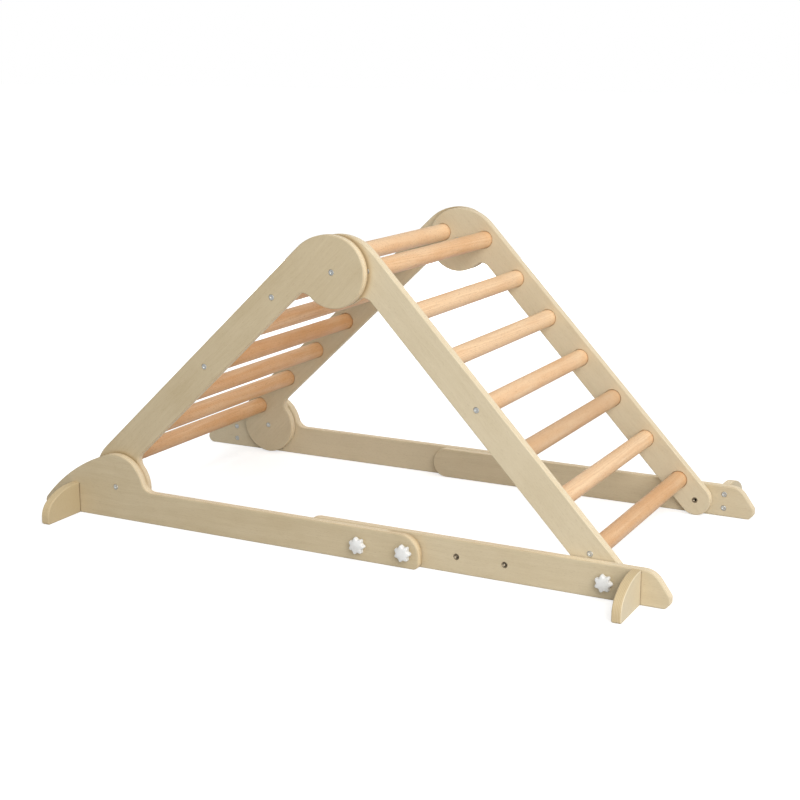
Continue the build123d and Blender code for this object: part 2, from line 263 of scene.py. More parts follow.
class SharedEffects:
    """The effects that several finishes share, each built once as a node group."""

    @classmethod
    def build(cls) -> None:
        """Builds every group."""
        for effect in (cls.fibre, cls.layers, cls.rings, cls.handling, cls.joint, cls.contact):
            effect()

    @staticmethod
    def fibre() -> None:
        """Wood fibre along X, stretched along the grain, from a vector in metres and a seed.

        It puts out a slow Figure, fine Fibre and short Fleck, each from 0 to 1.
        """
        sheet = EffectSheet("wood_fibre", "Vector", "Seed")
        vector, seed = sheet.given
        grain = sheet.vector("ADD", vector, sheet.join(seed, seed, 0.0))
        wander = sheet.noise(grain, (5.0, 14.0, 14.0), 1.0)
        bent = sheet.vector("ADD", grain, sheet.join(0.0, sheet.scaled(wander, 20.0 * MM), 0.0))
        figure = sheet.noise(bent, (4.0, 90.0, 90.0), 3.0, 0.55)
        fibre = sheet.noise(bent, (22.0, 900.0, 900.0), 2.0, 0.6)
        fleck = sheet.noise(bent, (190.0, 1500.0, 1500.0), 0.0)
        sheet.close(
            Figure=sheet.step(figure, 0.3, 0.7),
            Fibre=sheet.step(fibre, 0.25, 0.75),
            Fleck=sheet.step(fleck, 0.66, 0.76),
        )

    @staticmethod
    def layers() -> None:
        """Plywood's layers through Z, counted from the middle of the board.

        It puts out Inner (0 in the two face veneers, 1 between them), Cross (1 in every other ply) and Glue
        (1 on the lines between plies).
        """
        sheet = EffectSheet("ply_layers", "Vector", "Thickness Plies")
        vector, thickness, plies = sheet.given
        share = sheet.math("DIVIDE", sheet.split(vector)[2], thickness)
        level = sheet.scaled(sheet.math("ADD", share, 0.5), plies)
        half = sheet.math("SUBTRACT", sheet.scaled(plies, 0.5), 1.0)
        below = sheet.math("SUBTRACT", half, sheet.math("ABSOLUTE", sheet.scaled(share, plies)))
        wave = sheet.math("SINE", sheet.scaled(level, math.pi))
        sheet.close(
            Inner=sheet.step(below, -0.06, 0.06),
            Cross=sheet.step(wave, 0.12, -0.12),
            Glue=sheet.step(sheet.math("ABSOLUTE", wave), 0.22, 0.04),
        )

    @staticmethod
    def rings() -> None:
        """Growth rings about a leaning pith beside X: a slow rise and a quick fall across each ring."""
        sheet = EffectSheet("growth_rings", "Vector Pith", "Lean Width")
        vector, pith, lean, width = sheet.given
        away = sheet.vector("SUBTRACT", vector, pith)
        x, y, z = sheet.split(away)
        leaned = sheet.math("ADD", y, sheet.scaled(x, lean))
        count = sheet.math("DIVIDE", sheet.length(0.0, leaned, z), width)
        wander = sheet.scaled(sheet.noise(away, (6.0, 40.0, 40.0), 2.0), 1.6)
        level = sheet.math("FRACT", sheet.math("ADD", count, wander))
        sheet.close(Ring=sheet.scaled(sheet.step(level, 0.1, 0.85), sheet.step(level, 1.0, 0.86)))

    @staticmethod
    def handling() -> None:
        """Soft cloudy marks of hands and of the making, so many a metre in every direction."""
        sheet = EffectSheet("handling", "Vector", "Marks")
        vector, marks = sheet.given
        sheet.close(Mark=sheet.step(sheet.noise(vector, marks, 4.0, 0.6), 0.3, 0.7))

    @staticmethod
    def joint() -> None:
        """Painted shade in the grooves on a board's face, along both sides of a plate that stands on it.

        The plate has a place along X, half a thickness, a top along Y and a sign of Z that it looks along.
        """
        sheet = EffectSheet("foot_joint", "Vector", "Place Half Top Outward")
        vector, place, half, top, outward = sheet.given
        x, y, z = sheet.split(vector)
        away = sheet.math("ABSOLUTE", sheet.math("SUBTRACT", x, place))
        past = sheet.math("ADD", sheet.math("SUBTRACT", away, half), 0.6 * MM)
        line = sheet.step(sheet.math("ABSOLUTE", past), 1.4 * MM, 0.8 * MM)
        below = sheet.step(sheet.math("SUBTRACT", top, y), 0.0, 2.0 * MM)
        front = sheet.step(sheet.scaled(z, outward), 6.0 * MM, 8.0 * MM)
        sheet.close(Groove=sheet.scaled(line, sheet.scaled(below, front)))

    @staticmethod
    def contact() -> None:
        """Painted shade: the soft dark rim of the gap round a seat, where two boards lie face to face.

        Shade is 1 in the gap, and fades over the neighbour's face and to a depth across the edges.
        """
        sheet = EffectSheet("contact_shade", "Vector Middle", "Radius Depth")
        vector, middle, radius, depth = sheet.given
        x, y, z = sheet.split(sheet.vector("SUBTRACT", vector, middle))
        past = sheet.math("SUBTRACT", sheet.length(x, 0.0, z), radius)
        gap = sheet.step(sheet.math("ABSOLUTE", y), depth, 2.0 * MM)
        sheet.close(Shade=sheet.scaled(sheet.step(past, 12.0 * MM, 0.0), gap))


class MaterialSheet(NodeSheet):
    """A material while it is being wired: its Principled shader and its place on the piece."""

    def __init__(self, name: str, plain: dict) -> None:
        """Starts the material.

        Args:
            name: The material's name.
            plain: Values that are the same all over the surface, by Principled socket.
        """
        self.material = bpy.data.materials.new(name)
        self.material.use_nodes = True
        super().__init__(self.material.node_tree)
        self.shader = self.tree.nodes["Principled BSDF"]
        for key, value in plain.items():
            self.shader.inputs[key].default_value = value

    def place(self, turn: Vector, shift: Vector) -> Socket:
        """Adds Object coordinates, turned and then shifted.

        Args:
            turn: Angles about X, Y and Z, in radians.
            shift: The shift after the turn, in metres.

        Returns:
            The vector in the piece's own axes.
        """
        coordinates = self.add("ShaderNodeTexCoord").outputs["Object"]
        inputs = {"Vector": coordinates, "Rotation": turn, "Location": shift}
        return self.add("ShaderNodeMapping", inputs).outputs[0]

    def finish(self, colour: Socket, roughness: Socket, height: Socket, depth: float) -> Material:
        """Wires the varying values to the shader.

        Args:
            colour: The base colour.
            roughness: The roughness.
            height: The relief, from 0 to 1.
            depth: The relief's full height, in metres.

        Returns:
            The material.
        """
        bump = self.add("ShaderNodeBump", {"Height": height, "Distance": depth, "Strength": 1.0})
        self.wire(self.shader.inputs["Base Color"], colour)
        self.wire(self.shader.inputs["Roughness"], roughness)
        self.wire(self.shader.inputs["Normal"], bump.outputs[0])
        return self.material


class Shading:
    """Where a shared effect paints shade on a board, with attributes named like the effect's inputs."""

    def inputs(self) -> dict[str, object]:
        """The attributes, by input of the effect."""
        return {key.title(): value for key, value in vars(self).items()}


@dataclass(frozen=True)
class FootJoint(Shading):
    """Where a foot stands on a rail's face, with painted shade in the grooves beside it.

    Attributes:
        place: The middle of the foot along the rail, in metres.
        half: Half the foot's thickness.
        top: How high the joint reaches.
        outward: The sign of the rail's own Z axis that the foot looks along.
    """

    place: float
    half: float
    top: float
    outward: float


@dataclass(frozen=True)
class Seat(Shading):
    """A round seat where two boards lie face to face, a hair apart, with painted shade in the gap.

    Attributes:
        middle: The seat's middle, in the gap between the boards.
        radius: Its radius, in metres.
        depth: How far its painted shade reaches across a board's edge.
    """

    middle: Vector
    radius: float
    depth: float = SEAT_DEPTH

    @classmethod
    def at(cls, node: str, boards: tuple[str, str], side: Side, *size: float) -> "Seat":
        """Finds the seat round a fastener, midway between two boards of one thickness.

        Args:
            node: The fastener's node.
            boards: The words of the inner and the outer board in node names.
            side: The climber's side.
            *size: The seat's radius in metres, and its depth where that isn't the usual one.

        Returns:
            The seat.
        """
        inner, outer = (middle_of(f"{board}_{side.word}") for board in boards)
        axis = middle_of(node)
        return cls(Vector((axis.x, (inner.y + outer.y) / 2, axis.z)), *size)

    @classmethod
    def at_rear_pivot(cls, side: Side) -> tuple["Seat", ...]:
        """Finds the seat round a rear pivot for painted shade in its gap, on the right side only."""
        if side is Side.LEFT:
            return ()
        return (cls.at("rear_pivot_bolts", ("rear_stile", "rear_rail"), side, PIVOT_SEAT),)


@dataclass(frozen=True)
class PlywoodFinish:
    """Clear-lacquered birch plywood, cut so that its layers show on every edge and in every hole.

    Attributes:
        name: The material's name.
        turn: The angles that bring the grain to X and the thickness to Z, in radians.
        shift: The shift that brings the board's middle plane to zero, in metres.
        seed: A number that sets this board's figure.
        tone: How dark the board is, about 0 for pale to 1 for deep.
        seats: Where it lies against its neighbours, with painted shade in the gaps.
        foot: Where a foot stands on the board, for painted shade in the grooves beside it, or None.
        cut: The colours of the pale plies and the cross plies.
        thickness: The board's thickness and a hair more, so that its faces stay clear of the cut.
        middle: The middle of what grain and marks add to the tone.
    """

    name: str
    turn: Vector
    shift: Vector
    seed: float
    tone: float
    seats: tuple[Seat, ...] = ()
    foot: FootJoint | None = None
    cut: tuple[Colour, Colour] = CREAM_CUT
    thickness: float = 18.036 * MM
    plies: float = 13.0
    face_pale: Colour = paint(219, 204, 173)
    face_deep: Colour = paint(193, 174, 137)
    speck: Colour = paint(160, 132, 92)
    glue_line: Colour = paint(158, 122, 82)
    # The next two colours are painted shade: a soft shade in the gaps round seats, and a dark shadow line
    # there and in the grooves beside a foot.
    seat_shade: Colour = paint(192, 162, 108)
    painted_crease_shadow: Colour = paint(108, 72, 38)
    coat: float = 0.12
    coat_roughness: float = 0.3
    marks: float = 9.0
    middle: float = 0.31
    figure_share: float = 0.18
    streak_share: float = 0.22
    cloud_share: float = 0.18
    fleck_share: float = 0.2
    cross_share: float = 0.75
    glue_share: float = 0.45
    seat_share: float = 0.55
    line_power: float = 6.0
    line_share: float = 0.26
    groove_share: float = 0.52
    wear: float = 0.1
    roughness: float = 0.4
    relief: float = 0.06 * MM
    glue_relief: float = 0.8

    def material(self) -> Material:
        """Builds the material: veneer on the faces, layers where the board is cut, and painted shade in
        gaps and grooves.

        Returns:
            The material.
        """
        sheet = MaterialSheet(self.name, {"Coat Weight": self.coat, "Coat Roughness": self.coat_roughness})
        vector = sheet.place(self.turn, self.shift)
        fibre = sheet.effect("wood_fibre", Vector=vector, Seed=self.seed)
        layers = sheet.effect("ply_layers", Vector=vector, Thickness=self.thickness, Plies=self.plies)
        mark = sheet.effect("handling", Vector=vector, Marks=self.marks)["Mark"]
        figure = sheet.scaled(fibre["Figure"], self.figure_share)
        streak = sheet.scaled(fibre["Fibre"], self.streak_share)
        cloud = sheet.scaled(mark, self.cloud_share)
        grain = sheet.total(figure, streak, cloud)
        shade = sheet.math("ADD", grain, self.tone - self.middle, clamp=True)
        veneer = sheet.blend(shade, self.face_pale, self.face_deep)
        face = sheet.tint(veneer, self.speck, fibre["Fleck"], self.fleck_share)
        band = sheet.scaled(layers["Cross"], sheet.math("ADD", streak, self.cross_share))
        cut = sheet.tint(sheet.blend(band, *self.cut), self.glue_line, layers["Glue"], self.glue_share)
        colour = sheet.blend(layers["Inner"], face, cut)
        # Painted shade round each seat: a soft shade over the gap, and a sharp dark shadow line where the
        # boards meet.
        spot = sheet.add("ShaderNodeTexCoord").outputs["Object"]
        for seat in self.seats:
            gap_shade = sheet.effect("contact_shade", Vector=spot, **seat.inputs())["Shade"]
            gap_shaded = sheet.tint(colour, self.seat_shade, gap_shade, self.seat_share)
            line = sheet.math("POWER", gap_shade, self.line_power)
            colour = sheet.tint(gap_shaded, self.painted_crease_shadow, line, self.line_share)
        # Painted shadow in the grooves along both sides of the foot.
        if self.foot:
            groove = sheet.effect("foot_joint", Vector=vector, **self.foot.inputs())["Groove"]
            colour = sheet.tint(colour, self.painted_crease_shadow, groove, self.groove_share)
        worn = sheet.scaled(sheet.total(mark, fibre["Fibre"], layers["Inner"]), self.wear)
        roughness = sheet.math("ADD", worn, self.roughness)
        relief = sheet.math("SUBTRACT", fibre["Fibre"], sheet.scaled(layers["Glue"], self.glue_relief))
        return sheet.finish(colour, roughness, relief, self.relief)


@dataclass(frozen=True)
class BeechFinish:
    """Clear-lacquered beech dowel: growth rings and short brown flecks along the grain.

    Attributes:
        name: The material's name.
        shift: The shift that brings the dowel's axis to zero, in metres.
        pith: Where the tree's pith lies beside the dowel, in metres.
        lean: The slope of the pith along the dowel.
        seed: A number that sets this dowel's figure.
        tone: How deep its colour is, from 0 to 1.
        dullness: How brown and dull the dowel is, from 0 to 1.
        middle: The middle of what grain and marks add to the tone.
    """

    name: str
    shift: Vector
    pith: Vector
    lean: float
    seed: float
    tone: float
    dullness: float
    pale: Colour = paint(249, 214, 172)
    deep: Colour = paint(228, 170, 112)
    dull: Colour = paint(190, 158, 122)
    ring_line: Colour = paint(206, 152, 100)
    fleck: Colour = paint(168, 112, 68)
    coat: float = 0.18
    coat_roughness: float = 0.24
    ring_width: float = 2.1 * MM
    marks: float = 12.0
    middle: float = 0.3
    figure_share: float = 0.4
    cloud_share: float = 0.2
    ring_share: float = 0.24
    fleck_share: float = 0.5
    mark_wear: float = 0.1
    fibre_wear: float = 0.08
    roughness: float = 0.36
    relief: float = 0.04 * MM

    def material(self) -> Material:
        """Builds the material.

        Returns:
            The material.
        """
        sheet = MaterialSheet(self.name, {"Coat Weight": self.coat, "Coat Roughness": self.coat_roughness})
        vector = sheet.place(Vector((0.0, 0.0, -QUARTER)), self.shift)
        fibre = sheet.effect("wood_fibre", Vector=vector, Seed=self.seed)
        tree = {"Pith": self.pith, "Lean": self.lean, "Width": self.ring_width}
        ring = sheet.effect("growth_rings", Vector=vector, **tree)["Ring"]
        mark = sheet.effect("handling", Vector=vector, Marks=self.marks)["Mark"]
        figure = sheet.scaled(fibre["Figure"], self.figure_share)
        cloud = sheet.scaled(mark, self.cloud_share)
        grain = sheet.math("ADD", figure, cloud)
        shade = sheet.math("ADD", grain, self.tone - self.middle, clamp=True)
        ground = sheet.blend(self.dullness, sheet.blend(shade, self.pale, self.deep), self.dull)
        ringed = sheet.tint(ground, self.ring_line, ring, self.ring_share)
        colour = sheet.tint(ringed, self.fleck, fibre["Fleck"], self.fleck_share)
        rubbed = sheet.scaled(mark, self.mark_wear)
        raised = sheet.scaled(fibre["Fibre"], self.fibre_wear)
        roughness = sheet.total(rubbed, raised, self.roughness)
        relief = sheet.math("SUBTRACT", fibre["Fibre"], fibre["Fleck"])
        return sheet.finish(colour, roughness, relief, self.relief)


@dataclass(frozen=True)
class SmoothFinish:
    """Plated steel, or else moulded plastic: cloudy dull marks over a fine texture.

    Attributes:
        name: The material's name.
        clean: Its colour.
        dulled: Its colour where it has dulled.
        polish: Its lowest roughness, to which marks add their wear.
        marks: Dull marks per metre.
        grains: Grains of the texture per metre.
    """

    name: str
    clean: Colour
    dulled: Colour
    polish: float
    metallic: float = 1.0
    marks: float = 220.0
    grains: float = 2400.0
    wear: float = 0.2
    relief: float = 0.01 * MM

    def material(self) -> Material:
        """Builds the material.

        Returns:
            The material.
        """
        sheet = MaterialSheet(self.name, {"Metallic": self.metallic})
        vector = sheet.place(Vector(), Vector())
        mark = sheet.effect("handling", Vector=vector, Marks=self.marks)["Mark"]
        texture = sheet.effect("handling", Vector=vector, Marks=self.grains)["Mark"]
        colour = sheet.blend(mark, self.clean, self.dulled)
        roughness = sheet.math("ADD", sheet.scaled(mark, self.wear), self.polish)
        return sheet.finish(colour, roughness, texture, self.relief)


def turned_surface(radius: Array, height: Array, ends: Ends) -> Surface:
    """Turns a profile round its axis: the point at (t, a) is (r cos a, r sin a, h).

    The radius and the height may change with the angle a as well as along the profile t, so the same
    surface makes lobes, hex sockets and screw threads.

    Args:
        radius: Radii, one row for each step along the profile and one column for each angle.
        height: Heights of the same shape.
        ends: Whether the first and last rows meet in points or join each other.

    Returns:
        Points, one row each, and triangles as rows of three point numbers.
    """
    rows, columns = radius.shape
    angle = np.arange(columns) * (2 * math.pi / columns)
    grid = np.stack([radius * np.cos(angle), radius * np.sin(angle), height], axis=-1)
    points = grid.reshape(-1, 3)
    number = np.arange(rows * columns).reshape(rows, columns)
    if ends is Ends.RING:
        number = np.vstack([number, number[:1]])
    ahead = np.roll(number, -1, axis=1)
    low, low_next, high, high_next = number[:-1], ahead[:-1], number[1:], ahead[1:]
    first = np.stack([low, low_next, high_next], axis=-1).reshape(-1, 3)
    second = np.stack([low, high_next, high], axis=-1).reshape(-1, 3)
    faces = [first, second]
    if ends is Ends.POINTS:
        tips = np.array([[0.0, 0.0, height[0].mean()], [0.0, 0.0, height[-1].mean()]])
        start = np.full(columns, len(points))
        points = np.vstack([points, tips])
        faces.append(np.stack([start, ahead[0], number[0]], axis=-1))
        faces.append(np.stack([start + 1, number[-1], ahead[-1]], axis=-1))
    return points, np.vstack(faces)


def stand_out(points: Array, origin: Vector, outward: float) -> Array:
    """Turns points so that their Z axis looks along Y, and moves them to a place.

    Args:
        points: Points in millimetres, one row each.
        origin: The place of their own origin, in metres.
        outward: The sign of Y that their Z axis looks along.

    Returns:
        The points in metres, in the climber's frame.
    """
    turned = np.stack([-outward * points[:, 0], outward * points[:, 2], points[:, 1]], axis=-1)
    return turned * MM + np.array(origin)


@dataclass
class SocketScrew:
    """A flat-headed screw or sleeve nut with a hex socket, turned about its axis.

    Attributes:
        shank_radius: The shank's radius, in millimetres.
        length: The shank's length under the head.
        bore_radius: The radius of a bore from the shank's end, or 0 for none.
        bore_wall: The thickness of metal left between the bore and the head.
    """

    shank_radius: float
    length: float
    bore_radius: float = 0.0
    bore_wall: float = 2.0
    head_radius: float = 5.5
    head_height: float = 3.0
    rim_round: float = 0.6
    tip_chamfer: float = 0.6
    under_chamfer: float = 0.2
    hex_radius: float = 2.4
    hex_depth: float = 1.8
    hex_chamfer: float = 0.25
    columns: int = 48

    def surface(self) -> Surface:
        """Works out the surface: r = b + c q, where q is the hexagon cos 30 / cos(a mod 60 - 30).

        The profile runs up the shank, round the head's rim, over its top and down into the socket, and c
        is above zero only in the socket. Zero height is the head's top.

        Returns:
            Points in millimetres and triangles.
        """
        under = -self.head_height
        end = under - self.length
        curve = np.linspace(0.0, QUARTER, 5)
        rim_radius = self.head_radius - self.rim_round * (1 - np.cos(curve))
        rim_height = -self.rim_round * (1 - np.sin(curve))
        if self.bore_radius:
            blind = under - self.bore_wall
            start = [(self.bore_radius, 0.0, blind), (self.bore_radius, 0.0, end)]
            shank_end = end
        else:
            start = [(self.shank_radius - self.tip_chamfer, 0.0, end)]
            shank_end = end + self.tip_chamfer
        body = [
            (self.shank_radius, 0.0, shank_end),
            (self.shank_radius, 0.0, under),
            (self.head_radius - self.under_chamfer, 0.0, under),
            (self.head_radius, 0.0, under + self.under_chamfer),
        ]
        rim = [(r, 0.0, h) for r, h in zip(rim_radius.tolist(), rim_height.tolist())]
        hexagon = [
            (self.hex_radius + self.hex_chamfer, 0.0, 0.0),
            (0.0, self.hex_radius, -self.hex_chamfer),
            (0.0, self.hex_radius, -self.hex_depth),
        ]
        profile = np.array(start + body + rim + hexagon)
        angle = np.arange(self.columns) * (360.0 / self.columns)
        flat = math.cos(math.radians(30)) / np.cos(np.radians(np.mod(angle, 60.0) - 30.0))
        radius = profile[:, :1] + profile[:, 1:2] * flat
        height = np.repeat(profile[:, 2:], self.columns, axis=1)
        return turned_surface(radius, height, Ends.POINTS)


@dataclass
class Thread:
    """A screw thread on a stud, or in a sleeve with a chamfered foot and mouth.

    Attributes:
        length: The threaded length, in millimetres.
        crest: The radius at the crests.
        root: The radius at the roots.
        chamfer: How much the thread's ends are cut back.
    """

    length: float
    crest: float = 4.0
    root: float = 3.4
    pitch: float = 1.25
    chamfer: float = 0.5
    foot_chamfer: float = 0.2
    mouth_chamfer: float = 0.4
    columns: int = 36
    steps: int = 8

    def wave(self, height: Array) -> Array:
        """The thread's radius at (h, a): a ridge that climbs one pitch each turn.

        With l the fraction of a pitch at (h, a), the ridge is 1.5 - 3.2 |l - 1/2|, kept between 0 and 1.

        Args:
            height: Heights as a column.

        Returns:
            Radii, a row for each height and a column for each angle.
        """
        turn = np.arange(self.columns) / self.columns
        level = np.mod(height / self.pitch - turn, 1.0)
        ridge = np.clip(1.5 - 3.2 * np.abs(level - 0.5), 0.0, 1.0)
        return self.root + (self.crest - self.root) * ridge

    def heights(self) -> Array:
        """The heights of the thread's rows, as a column from 0 to its length."""
        rows = int(self.length / self.pitch * self.steps)
        return np.linspace(0.0, self.length, rows)[:, None]

    def stud(self) -> Surface:
        """A threaded rod from height 0 to its length, with a chamfer at each end.

        Returns:
            Points in millimetres and triangles.
        """
        height = self.heights()
        tip = self.root - self.chamfer
        cone = tip + np.minimum(height, self.length - height)
        radius = np.minimum(self.wave(height), np.maximum(cone, tip))
        level = np.repeat(height, self.columns, axis=1)
        return turned_surface(radius, level, Ends.POINTS)

    def sleeve(self, outer: float) -> Surface:
        """A tube from height 0 to its length, threaded inside, with a chamfered mouth at its top.

        Args:
            outer: The tube's outer radius.

        Returns:
            Points in millimetres and triangles.
        """
        height = self.heights()[::-1]
        mouth = self.crest + self.chamfer - (self.length - height)
        inside = np.maximum(self.wave(height), mouth)
        wall = np.full((4, self.columns), outer)
        wall[0] -= self.foot_chamfer
        wall[3] -= self.mouth_chamfer
        rise = np.array([[0.0], [self.foot_chamfer], [self.length - self.mouth_chamfer], [self.length]])
        level = np.repeat(np.vstack([height, rise]), self.columns, axis=1)
        return turned_surface(np.vstack([inside, wall]), level, Ends.RING)


@dataclass
class StarKnob:
    """A moulded star knob, in millimetres: a hub under seven round lobes with a low crown."""

    lobes: int = 7
    lobe_power: float = 1.2
    reach: float = 16.5
    hollow: float = 12.6
    hub_radius: float = 9.0
    hub_height: float = 4.0
    hub_chamfer: float = 0.4
    shoulder: float = 10.6
    height: float = 17.0
    crown_radius: float = 42.0
    crown_rings: tuple[float, ...] = (0.85, 0.68, 0.5, 0.32, 0.16)
    under_round: float = 1.8
    top_round: float = 3.0
    columns: int = 168

    def outline(self) -> Array:
        """The lobed outline: r = hollow + (reach - hollow) ((1 + cos 7a) / 2)^1.2."""
        angle = np.arange(self.columns) * (2 * math.pi / self.columns)
        lift = ((1 + np.cos(self.lobes * angle)) / 2) ** self.lobe_power
        return self.hollow + (self.reach - self.hollow) * lift

    def crown(self, radius: Array) -> Array:
        """The height of the crown at a radius."""
        return self.height - self.crown_radius + np.sqrt(self.crown_radius**2 - radius**2)

    def surface(self) -> Surface:
        """Works out the knob: r = b + c s(a), where s is the lobed outline, up its profile.

        The profile runs up the hub, out under the lobes, up their sides and in over the crown, whose height
        is that of a sphere, top - R + sqrt(R^2 - r^2).

        Returns:
            Points in millimetres and triangles.
        """
        star = self.outline()
        bend = np.linspace(0.0, QUARTER, 6)
        rise = np.linspace(self.hub_height + self.under_round, self.shoulder, 4)[1:]
        hub = [self.hub_radius - self.hub_chamfer, self.hub_radius, self.hub_radius]
        tuck = -self.under_round * (1 - np.sin(bend))
        base = np.concatenate([hub, tuck, np.zeros_like(rise)])[:, None]
        lobe = np.repeat([0.0, 1.0], [len(hub), len(bend) + len(rise)])[:, None]
        swell = self.hub_height + self.under_round * (1 - np.cos(bend))
        level = np.concatenate([[0.0, self.hub_chamfer, self.hub_height], swell, rise])[:, None]
        inner = star - self.top_round
        swing = bend[1:, None]
        round_radius = inner + self.top_round * np.cos(swing)
        round_height = self.shoulder + (self.crown(inner) - self.shoulder) * np.sin(swing)
        top_radius = inner * np.array(self.crown_rings)[:, None]
        radius = np.vstack([base + lobe * star, round_radius, top_radius])
        low_height = np.repeat(level, self.columns, axis=1)
        height = np.vstack([low_height, round_height, self.crown(top_radius)])
        return turned_surface(radius, height, Ends.POINTS)


def stand(name: str, data: bpy.types.ID) -> bpy.types.Object:
    """Makes an object and links it to the scene.

    Args:
        name: Its name.
        data: Its mesh, light or camera.

    Returns:
        The object.
    """
    thing = bpy.data.objects.new(name, data)
    bpy.context.scene.collection.objects.link(thing)
    return thing


@dataclass(frozen=True)
class Stock:
    """What knobs or fasteners of one kind are made of.

    Attributes:
        ending: What is added to a node's name.
        slot: The name of a material slot; it is not used.
        material: The finish.
        crease: The angle in degrees above which an edge stays sharp.
    """

    ending: str
    slot: str
    material: Material
    crease: float = 40.0


class Workshop:
    """The CAD objects and the stock, with the jobs that every sub-assembly needs."""

    def __init__(self, nodes: dict[str, bpy.types.Object]) -> None:
        """Builds the finishes of knobs and fasteners.

        Args:
            nodes: The CAD objects, by node.
        """
        self.nodes = nodes
        satin = {"metallic": 0.0, "marks": 60.0, "grains": 1800.0, "wear": 0.16, "relief": 0.03 * MM}
        white = (paint(238, 238, 236), paint(221, 221, 218))
        bright = (paint(238, 239, 236), paint(208, 210, 208))
        black = (paint(172, 158, 136), paint(130, 118, 100))
        plastic = SmoothFinish("white_satin_plastic", *white, 0.34, **satin).material()
        self.zinc = SmoothFinish("bright_zinc", *bright, 0.36).material()
        dark = SmoothFinish("black_zinc", *black, 0.4).material()
        self.screws = Stock("turned", "zinc_steel", self.zinc)
        self.studs = Stock("threaded", "zinc_steel", self.zinc)
        self.inserts = Stock("threaded", "dark_steel", dark)
        self.knobs = Stock("moulded", "white_plastic", plastic, 50.0)

    def coat(self, node: str, material: Material) -> None:
        """Gives a CAD object its one material.

        Args:
            node: The object's node.
            material: The material.
        """
        slots = self.nodes[node].data.materials
        slots.clear()
        slots.append(material)
        LOG.info("%s: %s", node, material.name)

    def coat_board(self, node: str, along: Vector, seed: float, tone: float, *shadings: object) -> None:
        """Gives a board in the side view its plywood.

        Args:
            node: The board's node.
            along: A vector along its grain.
            seed: The board's own number.
            tone: How dark the board is.
            *shadings: Its seats, and its foot joint if it has one, where shade is painted.
        """
        turn = Vector((-QUARTER, 0.0, -math.atan2(along.z, along.x)))
        shift = Vector((0.0, 0.0, middle_of(node).y))
        finish = PlywoodFinish(f"plywood_{node}", turn, shift, seed, tone, *shadings)
        self.coat(node, finish.material())

    def coat_rung(self, node: str, number: int, tone: float, dullness: float) -> None:
        """Gives a rung its beech, with a pith 24 to 57 mm away, each time turned by 2.4 radians.

        Args:
            node: The rung's node.
            number: A number that no other rung has.
            tone: How deep its colour is.
            dullness: How brown and dull it is.
        """
        middle = middle_of(node)
        turn = number * 2.4
        reach = (24.0 + 11.0 * (number % 4)) * MM
        shift = Vector((0.0, middle.x, -middle.z))
        pith = Vector((0.0, reach * math.cos(turn), reach * math.sin(turn)))
        lean = 0.014 * math.sin(number * 1.7)
        finish = BeechFinish(f"beech_{node}", shift, pith, lean, number * 1.31, tone, dullness)
        self.coat(node, finish.material())

    def make(self, node: str, body: str, stock: Stock, surface: Surface, spots: list[Spot]) -> None:
        """Makes the piece that stands for a node: one surface, set down at one or more spots.

        Args:
            node: The CAD node that it replaces.
            body: The body that it rides on.
            stock: What it is made of.
            surface: Points in millimetres and triangles.
            spots: Places in metres, each with the sign of Y that the surface's Z axis looks along.
        """
        name = f"{node}_{stock.ending}"
        points, faces = surface
        placed = np.vstack([stand_out(points, place, outward) for place, outward in spots])
        joined = np.vstack([faces + count * len(points) for count in range(len(spots))])
        mesh = bpy.data.meshes.new(name)
        mesh.from_pydata(placed.tolist(), [], joined.tolist())
        mesh.polygons.foreach_set("use_smooth", np.ones(len(joined), dtype=bool))
        mesh.set_sharp_from_angle(angle=math.radians(stock.crease))
        mesh.materials.append(stock.material)
        piece = stand(name, mesh)
        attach(piece, body)
        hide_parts(node)
        LOG.info("%s: %d triangles on %s", name, len(joined), body)


class Ladder:
    """What the two ladders share: plywood stiles, beech rungs let into them, and bolts in three rungs.

    Attributes:
        word: The ladder's word in node names.
        ends: A node high on the ladder and one low on it.
        seed: The number of its boards.
        rungs_before: How many numbers go to other rungs before its own.
        bolted: Its bolted rungs.
        stile_tones: How dark its stiles are.
        rung_tones: How deep in colour and how dull its rungs are, from the first.
    """

    word: str
    ends: tuple[str, str]
    seed: float
    rungs_before: int
    bolted: tuple[int, int, int]
    stile_tones: dict[Side, float]
    rung_tones: tuple[tuple[float, float], ...]

    def __init__(self, shop: Workshop) -> None:
        """Keeps the workshop and finds the ladder's ends."""
        self.shop = shop
        self.body = f"{self.word}_ladder"
        self.top, self.foot = (middle_of(node) for node in self.ends)

    def seats(self, side: Side) -> tuple[Seat, ...]:
        """Where a stile lies against the other ladder's, round the top pivot, with painted shade in the
        gap.
        """
        return (Seat.at("top_pivot_bolts", ("front_stile", "rear_stile"), side, TOP_SEAT),)

    def dress(self) -> None:
        """Dresses the stiles and the rungs, and makes the rung bolts."""
        along = self.foot - self.top
        for side, tone in self.stile_tones.items():
            stile = f"{self.word}_stile_{side.word}"
            self.shop.coat_board(stile, along, self.seed + side.value, tone, self.seats(side))
        for number, (tone, dullness) in enumerate(self.rung_tones, 1):
            self.shop.coat_rung(f"{self.word}_rung_{number}", number + self.rungs_before, tone, dullness)
        bolts = f"{self.word}_rung_bolts"
        bolt = SocketScrew(BOLT_SHANK, RUNG_BOLT)
        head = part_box(bolts)[1].y
        axes = [middle_of(f"{self.word}_rung_{number}") for number in self.bolted]
        spots = [spot for axis in axes for spot in both_sides(axis, head)]
        self.shop.make(bolts, self.body, self.shop.screws, bolt.surface(), spots)


